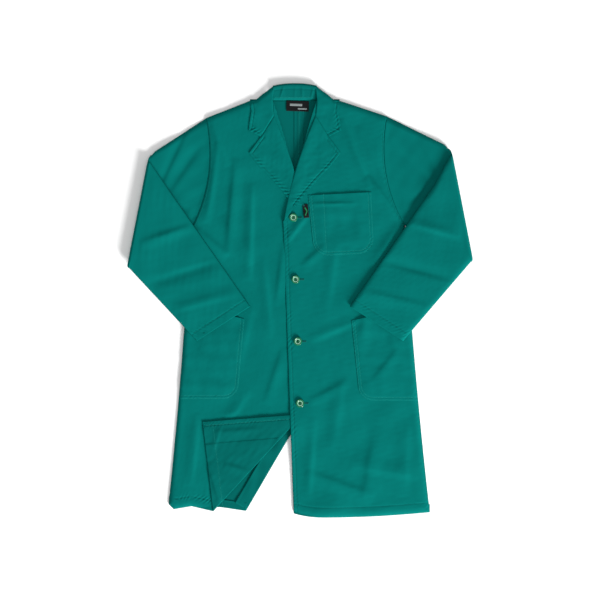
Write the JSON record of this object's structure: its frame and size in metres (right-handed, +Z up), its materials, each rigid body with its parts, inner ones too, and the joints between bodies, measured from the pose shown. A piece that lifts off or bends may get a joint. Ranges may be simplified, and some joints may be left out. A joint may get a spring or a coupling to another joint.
{
  "type": "lab coat",
  "caption": "Long-sleeved lab coat laid flat with folded-over sleeves, notched collar and lapels, buttoned front, patch pockets and one turned-back front corner.",
  "frame": {"origin": "middle of the floor area that the laid coat covers, on the floor", "axes": "+Y from the hem to the collar, +X to the wearer's left, +Z up from the floor"},
  "size_m": [0.8622, 1.085, 0.0255],
  "materials": {
    "cloth": "soft satin twill of polyester and cotton, right side",
    "cloth_inside": "the same twill, wrong side",
    "button": "polished polyester",
    "thread": "spun polyester sewing thread",
    "label": "woven damask label"
  },
  "bodies": {
    "coat": {"back_panel_right": "cloth_inside", "back_panel_left": "cloth_inside", "centre_back_seam": "cloth_inside", "vent_facing_right": "cloth_inside", "vent_facing_left": "cloth_inside", "hem_back_right": "cloth_inside", "hem_back_left": "cloth_inside", "side_seam_right": "cloth", "side_seam_left": "cloth", "shoulder_seam_right": "cloth", "shoulder_seam_left": "cloth", "front_panel_right": "cloth", "front_panel_left": "cloth", "front_facing_right": "cloth_inside", "front_facing_left": "cloth_inside", "hem_front_right": "cloth_inside", "hem_front_left": "cloth_inside", "armhole_seam_right": "cloth_inside", "armhole_seam_left": "cloth_inside", "sleeve_upper_right": "cloth", "sleeve_upper_left": "cloth", "collar_back": "cloth", "lapel_break_right": "cloth", "lapel_break_left": "cloth", "chest_pocket": "cloth", "chest_pocket_edge": "cloth_inside", "lower_pocket_right": "cloth", "lower_pocket_right_edge": "cloth_inside", "lower_pocket_left": "cloth", "lower_pocket_left_edge": "cloth_inside", "neck_label": "label", "buttonhole_stitching": "thread"},
    "right_forearm": {"sleeve_forearm_right": "cloth", "forearm_under_right": "cloth", "forearm_edges_right": "cloth", "cuff_hem_right": "cloth_inside"},
    "left_forearm": {"sleeve_forearm_left": "cloth", "forearm_under_left": "cloth", "forearm_edges_left": "cloth", "cuff_hem_left": "cloth_inside"},
    "front_corner": {"front_corner": "cloth_inside", "front_corner_facing": "cloth_inside", "front_corner_hem": "cloth_inside"},
    "right_lapel": {"lapel_right": "cloth", "collar_end_right": "cloth"},
    "left_lapel": {"lapel_left": "cloth", "collar_end_left": "cloth"},
    "flag_label": {"flag_label": "label"},
    "button_1": {"button_1": "button", "button_thread_1": "thread"},
    "button_2": {"button_2": "button", "button_thread_2": "thread"},
    "button_3": {"button_3": "button", "button_thread_3": "thread"},
    "button_4": {"button_4": "button", "button_thread_4": "thread"}
  },
  "joints": [
    {"name": "right_elbow_fold", "type": "hinge", "parent": "coat", "child": "right_forearm", "pos_m": [-0.4055, 0.22, 0.01175], "axis": [-0.1919, -0.9814, 0], "range_deg": [0, 180]},
    {"name": "left_elbow_fold", "type": "hinge", "parent": "coat", "child": "left_forearm", "pos_m": [0.4055, 0.236, 0.01275], "axis": [-0.1919, 0.9814, 0], "range_deg": [0, 180]},
    {"name": "front_corner_fold", "type": "hinge", "parent": "coat", "child": "front_corner", "pos_m": [-0.1045, -0.4045, 0.00925], "axis": [0.6794, 0.7338, 0], "range_deg": [0, 155]},
    {"name": "right_lapel_roll", "type": "hinge", "parent": "coat", "child": "right_lapel", "pos_m": [-0.04, 0.3875, 0.00925], "axis": [-0.322, 0.9467, 0], "range_deg": [0, 85]},
    {"name": "left_lapel_roll", "type": "hinge", "parent": "coat", "child": "left_lapel", "pos_m": [-0.0015, 0.328, 0.01125], "axis": [-0.2913, -0.9566, 0], "range_deg": [0, 85]},
    {"name": "flag_label_swing", "type": "hinge", "parent": "coat", "child": "flag_label", "pos_m": [0.02283, 0.20707, 0.0113], "axis": [-0.1028, 0.9947, 0], "range_deg": [0, 85]},
    {"name": "button_1_turn", "type": "hinge", "parent": "coat", "child": "button_1", "pos_m": [-0.01643, 0.207, 0.013], "axis": [0, 0, 1], "range_deg": [-60, 60], "stiffness_Nm_per_rad": 0.0002},
    {"name": "button_2_turn", "type": "hinge", "parent": "coat", "child": "button_2", "pos_m": [-0.0109, 0.0525, 0.013], "axis": [0, 0, 1], "range_deg": [-60, 60], "stiffness_Nm_per_rad": 0.0002},
    {"name": "button_3_turn", "type": "hinge", "parent": "coat", "child": "button_3", "pos_m": [-0.00538, -0.102, 0.013], "axis": [0, 0, 1], "range_deg": [-60, 60], "stiffness_Nm_per_rad": 0.0002},
    {"name": "button_4_turn", "type": "hinge", "parent": "coat", "child": "button_4", "pos_m": [0.00015, -0.2565, 0.013], "axis": [0, 0, 1], "range_deg": [-60, 60], "stiffness_Nm_per_rad": 0.0002}
  ]
}
